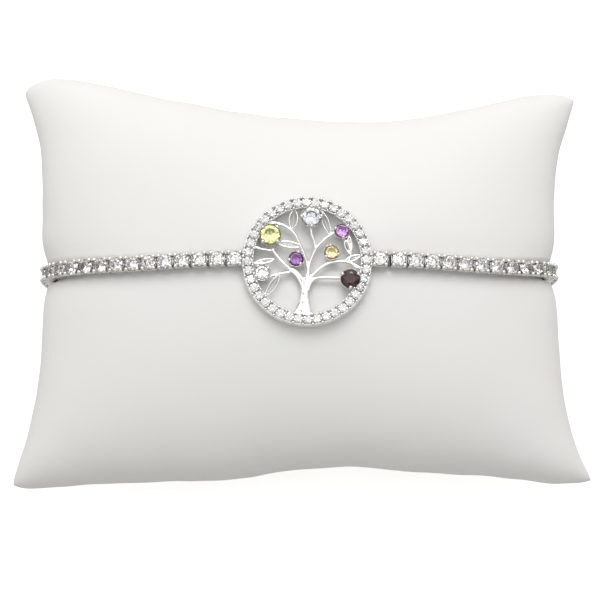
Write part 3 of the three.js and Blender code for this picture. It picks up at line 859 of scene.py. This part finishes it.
# %% Write down the tree
LIMBS = {
    "trunk": {"low": 0.25, "high": 1.5, "widths": [3.1, 2.3, 1.5, 1.2, 1.1, 1.05, 0.9, 0.55], "line": [
        (-0.72, -7.5), (-0.58, -6.7), (-0.45, -5.7), (-0.42, -4.8), (-0.36, -3.9), (-0.1, -3),
        (0.08, -2.2), (0.1, -1.4)]},
    "lower_left": {"widths": [0.7, 0.55, 0.48, 0.45, 0.44, 0.42, 0.42], "line": [
        (-0.5, -4.5), (-0.68, -3.6), (-0.96, -2.73), (-1.44, -1.96), (-2.06, -1.34), (-3.3, -0.15),
        (-4.2, 0.9), (-4.85, 1.9)]},
    "lower_left_ridge": {"high": 1.3, "widths": [0.4, 0.34, 0.3], "line": [
        (-0.25, -3), (-0.47, -2.62), (-0.96, -2), (-1.44, -1.47), (-2.1, -1)]},
    "white_stone_twig": {"high": 1.15, "widths": [0.36, 0.34, 0.36], "line": [
        (-2.1, -1.4), (-3, -1.6), (-3.7, -1.69), (-4.7, -1.95), (-5.6, -2.3)]},
    "ring_twig": {"high": 1.2, "widths": [0.42, 0.36, 0.36], "line": [
        (-7.5, 2.2), (-6.7, 1.9), (-6.1, 1.7), (-4.8, 1.5)]},
    "upper_left": {"widths": [0.5, 0.4, 0.36, 0.36, 0.36, 0.42], "line": [
        (0.12, -1.7), (0, -0.5), (-0.4, 0.95), (-0.82, 2.1), (-1.55, 3.63), (-2.5, 4.6), (-3.8, 5.25),
        (-5.5, 5.5)]},
    "right_main": {"widths": [0.5, 0.42, 0.4, 0.38], "line": [
        (0.1, -1.7), (0.25, -0.5), (0.7, 0.75), (1.3, 1.8), (2.38, 2.96), (3.68, 3.87), (4.4, 4.1)]},
    "topaz_branch": {"high": 1.25, "widths": [0.42, 0.34, 0.38], "line": [
        (1.15, 1.5), (1.08, 2.3), (0.93, 3), (0.6, 4), (0.65, 5.4)]},
    "right_arc": {"widths": [0.6, 0.45, 0.42, 0.4, 0.4, 0.45], "line": [
        (0.15, -3), (0.42, -2.46), (0.8, -1.93), (1.8, -1), (2.83, -0.36), (3.75, -0.15), (4.8, -0.08),
        (5.8, -0.3), (6.5, -0.64), (7.5, -1.2)]},
    "garnet_branch": {"high": 1.3, "widths": [0.7, 0.5, 0.4, 0.36, 0.36, 0.36], "line": [
        (0, -4.1), (0.15, -3.56), (0.42, -3.1), (0.75, -2.68), (1.2, -2.38), (2.48, -2.35), (5, -2.4)]},
    "upper_amethyst_twig": {"high": 1.1, "widths": [0.36, 0.34], "line": [
        (5.3, 4.6), (6.1, 5.3)]},
    "double_leaf_twig": {"high": 1.1, "widths": [0.36, 0.3, 0.26], "line": [
        (5.6, -0.2), (5.85, 0.4), (6, 1.1), (6.05, 1.7)]},
}
LEAVES = {
    "upper_left": {"stalk": (-2, 4.4), "tip": (-1.65, 7.3), "width": 1.15},
    "beside_peridot": {"stalk": (-0.75, 2.05), "tip": (-4.1, 2.6), "width": 0.8},
    "upper_right": {"stalk": (3.25, 3.5), "tip": (2, 7.1), "width": 0.85},
    "double_inner": {"stalk": (5.95, 0.8), "tip": (5.15, 2.95), "width": 0.62},
    "double_outer": {"stalk": (6.05, 1.3), "tip": (5.7, 3.6), "width": 0.5},
    "right": {"stalk": (5, -0.1), "tip": (7.45, 0.75), "width": 0.65},
    "left": {"stalk": (-4.35, 0.3), "tip": (-7.4, -0.25), "width": 0.55},
    "lower_left": {"stalk": (-5.8, -4.9), "tip": (-3.7, -1.75), "width": 0.9},
}
LEAF = {"rim": 0.23, "rim_z": 0.92, "rim_height": 0.42, "rim_steps": 10,
        "rib": 0.13, "rib_z": 0.8, "rib_steps": 8}
PITS = [(-0.62, -4.55), (-0.6, -5.7), (-0.95, -6.85), (-3.12, -0.4)]
PIT = {"radius": 0.14, "depth": 0.25, "above": 0.9}
FILED = {"from": 1.02, "left": 0.25}
print(len(LIMBS), "branches and", len(LEAVES), "leaves")

# %% [markdown]
# A smooth curve through given points is a Catmull-Rom spline: at each point it heads the way
# that the points on either side of it lie. The widths are spread evenly along it.

# %% Grow the branches
STEPS_PER_POINT = 6
ROUND_END = (0.45, 0.8, 1.0)


def spans(values, steps):
    """Even places along a list: the index of each one's span, and the share of it gone."""
    for share in shares(steps):
        place = share * (len(values) - 1)
        index = min(int(place), len(values) - 2)
        yield index, place - index


def smooth_line(points, steps):
    """A Catmull-Rom spline through points, as steps + 1 places."""
    ends = [points[0] * 2 - points[1], *points, points[-1] * 2 - points[-2]]
    places = []
    for index, t in spans(points, steps):
        a, b, c, d = ends[index:index + 4]
        places.append(0.5 * (2 * b + (c - a) * t + (2 * a - 5 * b + 4 * c - d) * t ** 2
                             + (3 * b - a - 3 * c + d) * t ** 3))
    return places


def spread(values, count):
    return [values[index] + (values[index + 1] - values[index]) * t
            for index, t in spans(values, count - 1)]


def rounded(sizes):
    """Sizes that shrink over the first and last steps, which rounds the ends of a wire."""
    last, full = len(sizes) - 1, len(ROUND_END) - 1
    return [size * ROUND_END[min(index, last - index, full)] for index, size in enumerate(sizes)]


def branch(bm, widths, line, low=0.35, high=1.35):
    middle = (low + high) / 2
    spots = smooth_line([Vector((x, y, middle)) for x, y in line], STEPS_PER_POINT * len(line))
    wide = rounded(spread(widths, len(spots)))
    tall = rounded([high - low] * len(spots))
    bar(bm, spots, wide, tall, sides=14)


def leaf(bm, stalk, tip, width):
    """An open leaf: two curved rims that meet at both ends, and a fine rib between them."""
    start, end = Vector((*stalk, 0)), Vector((*tip, 0))
    out = Vector((start.y - end.y, end.x - start.x, 0)).normalized() * width
    for side in (-1, 1):
        bend = start.lerp(end, 0.5) + out * side
        rim = [start.lerp(bend, t).lerp(bend.lerp(end, t), t) + Vector((0, 0, LEAF["rim_z"]))
               for t in shares(LEAF["rim_steps"])]
        bar(bm, rim, rounded([LEAF["rim"]] * len(rim)), rounded([LEAF["rim_height"]] * len(rim)))
    rib = [start.lerp(end, t) + Vector((0, 0, LEAF["rib_z"])) for t in shares(LEAF["rib_steps"])]
    bar(bm, rib, rounded([LEAF["rib"]] * len(rib)))


print("the trunk narrows like this:", [round(width, 2) for width in spread(LIMBS["trunk"]["widths"], 5)])

# %% [markdown]
# The remesh works on a grid of small cubes, 0.07 mm wide here. It is a modifier, so a
# temporary object carries it, and the melted mesh is read back from there. A casting is never
# quite sound, so a few tiny pits are pushed into its top. Before that the top is filed: what
# stands above one level is brought down to a quarter, which leaves broad, bright flats.

# %% Melt the branches and leaves together
VOXEL = 0.07
POLISH = 4


def melted(bm):
    bmesh.ops.recalc_face_normals(bm, faces=bm.faces)
    mesh = to_mesh("wires", bm)
    holder = put_in_scene("wires", mesh)
    remesh = holder.modifiers.new("melt", "REMESH")
    remesh.mode = "VOXEL"
    remesh.voxel_size = VOXEL
    shown = holder.evaluated_get(bpy.context.evaluated_depsgraph_get())
    result = bmesh.new()
    result.from_mesh(shown.data)
    bpy.data.objects.remove(holder)
    for _ in range(POLISH):
        bmesh.ops.smooth_vert(result, verts=result.verts, factor=0.5,
                              use_axis_x=True, use_axis_y=True, use_axis_z=True)
    for vert in result.verts:
        vert.co.z = min(vert.co.z, FILED["from"] + (vert.co.z - FILED["from"]) * FILED["left"])
    for x, y in PITS:
        for vert in result.verts:
            away = math.hypot(vert.co.x - x, vert.co.y - y) / PIT["radius"]
            if away < 1 and vert.co.z > PIT["above"]:
                vert.co.z -= PIT["depth"] * (1 - away ** 2)
    result.to_mesh(mesh)
    result.free()
    return mesh


def tree_metal():
    bm = bmesh.new()
    for limb in LIMBS.values():
        branch(bm, **limb)
    for one_leaf in LEAVES.values():
        leaf(bm, **one_leaf)
    return melted(bm)


TREE_MESH = tree_metal()
print("the tree has", len(TREE_MESH.polygons), "faces")

# %% [markdown]
# ## The paved ring
#
# The ring is a band with a channel on top. Forty stones stand in the channel, and beside each
# gap between two of them a small bead is raised from either wall to hold them. The outer wall
# is plain and polished, and leans in a little.

# %% Turn the ring
RING = {"foot": 9.02, "outer": 8.82, "inner": 7.32, "height": 1.4, "soft": 0.1, "steps": 160,
        "channel_outer": 8.7, "channel_inner": 7.45, "channel_z": 0.95}
PAVE = {"count": 40, "radius": 8.09, "stone": 1.26, "girdle": 1.5, "bead": 0.24, "bead_offset": 0.64,
        "bead_z": 1.56, "bead_root": 0.1, "bead_neck": 1.6}
# Both are silver darkened with painted shade: lightly in the channel and two cups, deeply in the other
# cups.
PAINTED_SHADE_UNDER_STONES, PAINTED_SHADE_IN_CUPS = 1, 2  # the medallion's second and third finish
NEAR = 0.01


def ring_metal(bm):
    soft, top, bottom = RING["soft"], RING["height"], RING["channel_z"]
    turned(bm, [
        (RING["inner"], soft), (RING["inner"] + soft, 0), (RING["foot"] - soft, 0), (RING["foot"], soft),
        (RING["outer"], top - soft), (RING["outer"] - soft / 2, top),
        (RING["channel_outer"], top), (RING["channel_outer"], bottom),
        (RING["channel_inner"], bottom), (RING["channel_inner"], top),
        (RING["inner"] + soft / 2, top), (RING["inner"], top - soft),
    ], RING["steps"])
    for face in bm.faces:
        spot = face.calc_center_median()
        radius = math.hypot(spot.x, spot.y)
        inside = RING["channel_inner"] - NEAR < radius < RING["channel_outer"] + NEAR
        if inside and bottom - NEAR < spot.z < top - NEAR:
            face.material_index = PAINTED_SHADE_UNDER_STONES


def ring_beads(bm):
    for index in range(PAVE["count"]):
        angle = 2 * math.pi * (index + 0.5) / PAVE["count"]
        for side in (-1, 1):
            centre = around(angle, PAVE["radius"] + side * PAVE["bead_offset"], PAVE["bead_z"])
            bead(bm, centre, PAVE["bead"])
            foot = Vector((centre.x, centre.y, RING["channel_z"] - PAVE["bead_root"]))
            bar(bm, [foot, centre], [PAVE["bead"] * 2, PAVE["bead"] * PAVE["bead_neck"]], sides=6)


def make_paved_stones():
    bm = bmesh.new()
    for index in range(PAVE["count"]):
        spot = around(2 * math.pi * index / PAVE["count"], PAVE["radius"], PAVE["girdle"])
        seat = Matrix.Translation(MEDALLION + spot) @ random_turn() @ unevenly_set(TILT["ring"])
        add_mesh(bm, BRILLIANT, seat @ Matrix.Scale(PAVE["stone"], 4))
    finish_piece("ring_stones", bm, [STONES["shaded_paved_stone"]], ["pave_band"], crease=1)


make_paved_stones()
print(PAVE["count"], "stones stand round the ring")

# %% [markdown]
# ## The coloured stones and their cups
#
# Each stone sits in a tapered cup, and its claws come up outside the girdle, lean in over the
# crown and end in a bead. Where the stones are and how large is read from the frame. The inside
# of each cup is darkened with painted shade, lightly under the two palest stones and deeply under
# the others.

# %% Set the coloured stones
SETTINGS = {
    "peridot": {"finish": "peridot_green", "slot": "peridot_green", "claws": 4, "turn": 45},
    "blue_topaz": {"finish": "topaz_blue", "slot": "topaz_blue", "claws": 4, "turn": 90,
                   "inside": PAINTED_SHADE_UNDER_STONES},
    "amethyst_upper": {"finish": "amethyst_violet", "slot": "amethyst_violet", "claws": 3, "turn": 40},
    "amethyst_inner": {"finish": "deep_amethyst", "slot": "amethyst_violet", "claws": 3, "turn": 70},
    "citrine": {"finish": "citrine_yellow", "slot": "citrine_yellow", "claws": 3, "turn": 100},
    "garnet": {"finish": "garnet_red", "slot": "garnet_red", "claws": 3, "turn": 30},
    "white_stone": {"finish": "white_stone", "slot": "clear_stone", "claws": 4, "turn": 35,
                    "inside": PAINTED_SHADE_UNDER_STONES},
}
GIRDLE_SHARE = 0.42  # height of the girdle above the lowest point, as a share of the diameter
CUP = {"wall": 0.28, "lip": 0.12, "taper": 0.3, "floor": 0.3, "edge": 0.06, "steps": 32,
       "outer_z": -0.1, "edge_z": -0.02, "inner_z": -0.12}
CLAW = {"width": 0.36, "narrowed": 0.8, "stand_off": 0.1, "below": 0.7, "lean": 0.06, "above": 0.24,
        "bulge": 0.05, "bead": 0.12, "bead_growth": 0.062, "bead_flat": 0.85}


def stone_seat(name):
    """Middle, girdle height and diameter of a stone in the frame, in millimetres."""
    low, high = (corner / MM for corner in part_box(name))
    diameter = high.x - low.x
    girdle = low.z + diameter * GIRDLE_SHARE
    return Vector(((low.x + high.x) / 2, (low.y + high.y) / 2, girdle)), diameter


def setting_metal(bm, name, claws, turn, inside):
    centre, diameter = stone_seat(name)
    centre = centre - MEDALLION
    inner, outer = diameter / 2 - CUP["wall"], diameter / 2 + CUP["lip"]
    known = set(bm.faces)
    turned(bm, [
        (inner - CUP["taper"], CUP["floor"]), (outer - CUP["taper"], CUP["floor"]),
        (outer, centre.z + CUP["outer_z"]), (outer - CUP["edge"], centre.z + CUP["edge_z"]),
        (inner, centre.z + CUP["inner_z"]),
    ], CUP["steps"], centre.x, centre.y)
    for face in set(bm.faces) - known:
        spot = face.calc_center_median()
        if math.hypot(spot.x - centre.x, spot.y - centre.y) < inner:
            face.material_index = inside
    for out in directions(claws, turn):
        outside = centre + out * (diameter / 2 + CLAW["stand_off"])
        tip = centre + out * (diameter / 2 - CLAW["lean"]) + Vector((0, 0, CLAW["above"]))
        elbow = outside.lerp(tip, 0.5) + out * CLAW["bulge"]
        spots = [outside - Vector((0, 0, CLAW["below"])), outside, elbow, tip]
        bar(bm, spots, [CLAW["width"]] * 3 + [CLAW["width"] * CLAW["narrowed"]], sides=10)
        bead(bm, tip, CLAW["bead"] + CLAW["bead_growth"] * diameter, CLAW["bead_flat"])


def make_coloured_stone(name, finish):
    centre, diameter = stone_seat(name)
    bm = bmesh.new()
    add_mesh(bm, BRILLIANT, Matrix.Translation(centre) @ random_turn() @ Matrix.Scale(diameter, 4))
    finish_piece(f"cut_{name}", bm, [STONES[finish]], [name], crease=1)


for stone_name, look in SETTINGS.items():
    make_coloured_stone(stone_name, look["finish"])
print(len(SETTINGS), "single stones are set")

# %% [markdown]
# ## The medallion as one piece
#
# Ring, tree, cups and lugs are soldered on the real thing, so they are joined here in one
# mesh. It has three finishes: polished, one lightly darkened with painted shade under the stones,
# and one deeply darkened with painted shade in the cups of the deeper coloured stones.

# %% Solder the medallion
LUG = {"length": 0.6, "width": 1.3, "height": 1.0, "z": 0.7, "soft": 0.12}


def make_medallion():
    bm = bmesh.new()
    ring_metal(bm)
    ring_beads(bm)
    for name, look in SETTINGS.items():
        setting_metal(bm, name, look["claws"], look["turn"], look.get("inside", PAINTED_SHADE_IN_CUPS))
    lug_y = loop_y(MEDALLION.x, True) - MEDALLION.y
    for side in (-1, 1):
        block(bm, (LUG["length"], LUG["width"], LUG["height"]),
              (side * (LUG_REACH - LUG["length"] / 2), lug_y, LUG["z"]), LUG["soft"])
    add_mesh(bm, TREE_MESH, Matrix())
    bmesh.ops.transform(bm, matrix=Matrix.Translation(MEDALLION), verts=bm.verts)
    finish_piece("silver_tree_medallion", bm, [SILVER, SHADED_CHANNEL_SILVER, DEEP_SHADE_SILVER],
                 ["tree_medallion"], crease=50)


make_medallion()

# %% [markdown]
# ## The clasp
#
# A box clasp lies hidden under the pillow: a box at the end of one side, and a tongue at the
# end of the other that snaps into it. Closed, it shows as one smooth block with a fine line
# where the tongue's plate meets the box, and a small tab to press.

# %% Make the clasp
CLASP = {
    "box": {"size": (6.9, 2.7, 2.0), "at": (-1.4, 0, 0), "soft": 0.18},
    "plate": {"size": (2.7, 2.5, 1.9), "at": (3.5, 0, 0), "soft": 0.18},
    "tab": {"size": (1.2, 0.22, 0.5), "at": (3.5, -1.25, 0), "soft": 0.06},
}


def make_clasp():
    low, high = (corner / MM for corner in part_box("box_clasp"))
    middle = (low + high) / 2
    bm = bmesh.new()
    for part in CLASP.values():
        block(bm, part["size"], middle + Vector(part["at"]), part["soft"])
    finish_piece("silver_box_clasp", bm, [SILVER], ["box_clasp"])


make_clasp()
